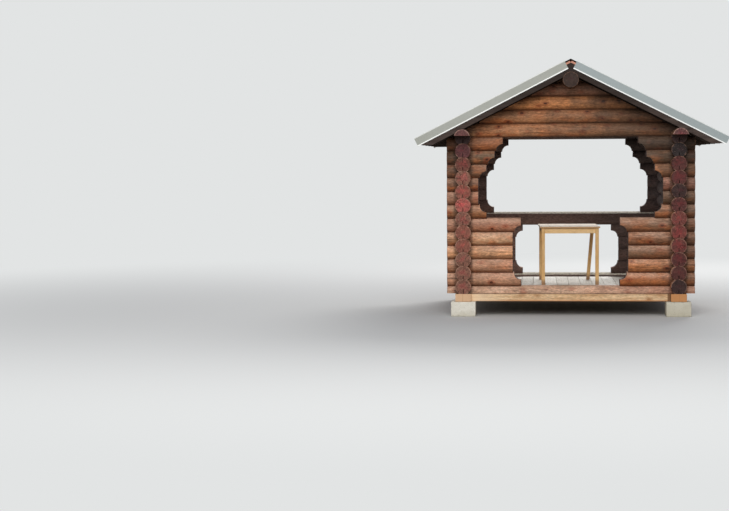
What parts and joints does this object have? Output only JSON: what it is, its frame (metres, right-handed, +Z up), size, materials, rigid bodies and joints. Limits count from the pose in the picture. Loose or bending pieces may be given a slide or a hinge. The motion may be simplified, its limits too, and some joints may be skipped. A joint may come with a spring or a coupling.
{
  "type": "log pavilion",
  "caption": "Open garden pavilion of notched round logs with scalloped wall openings, a gable roof with metal rake trims, a plank floor on corner blocks, and a plain table inside.",
  "frame": {"origin": "on the ground at the middle of the plan", "axes": "+X to the right seen from the front, front wall towards -Y, +Z up"},
  "size_m": [3.92, 3.74, 3.252],
  "materials": {
    "concrete": "rough cast",
    "base_timber": "sawn, lightly stained",
    "floor_boards": "weathered grey",
    "stained_logs": "satin red-brown stain",
    "rafters": "dark stain",
    "roof_boards": "dark stain below, sawn edges",
    "roof_metal": "satin grey",
    "trim_metal": "satin light grey",
    "table_wood": "clear satin varnish"
  },
  "bodies": {
    "root": {"foundation_blocks": "concrete", "base_beam_left": "base_timber", "base_beam_right": "base_timber", "base_beam_front": "base_timber", "base_beam_rear": "base_timber", "floor_joists": "base_timber", "floor_deck": "floor_boards", "front_sill_log": "stained_logs", "rear_sill_log": "stained_logs", "front_left_odd_courses": "stained_logs", "front_left_even_courses": "stained_logs", "front_right_odd_courses": "stained_logs", "front_right_even_courses": "stained_logs", "rear_left_odd_courses": "stained_logs", "rear_left_even_courses": "stained_logs", "rear_right_odd_courses": "stained_logs", "rear_right_even_courses": "stained_logs", "rear_rail_log": "stained_logs", "left_wall_odd_courses": "stained_logs", "left_wall_even_courses": "stained_logs", "right_wall_odd_courses": "stained_logs", "right_wall_even_courses": "stained_logs", "left_eave_log": "stained_logs", "right_eave_log": "stained_logs", "front_lintel_log": "stained_logs", "rear_lintel_log": "stained_logs", "front_gable_odd_courses": "stained_logs", "front_gable_even_courses": "stained_logs", "rear_gable_odd_courses": "stained_logs", "rear_gable_even_courses": "stained_logs", "ridge_log": "stained_logs", "left_rafters": "rafters", "right_rafters": "rafters", "left_roof_boards": "roof_boards", "right_roof_boards": "roof_boards", "left_roof_sheet": "roof_metal", "right_roof_sheet": "roof_metal", "ridge_cap": "roof_metal", "front_left_rake_trim": "trim_metal", "front_right_rake_trim": "trim_metal", "rear_left_rake_trim": "trim_metal", "rear_right_rake_trim": "trim_metal", "table_top": "table_wood", "table_aprons": "table_wood", "table_legs": "table_wood"}
  },
  "joints": []
}
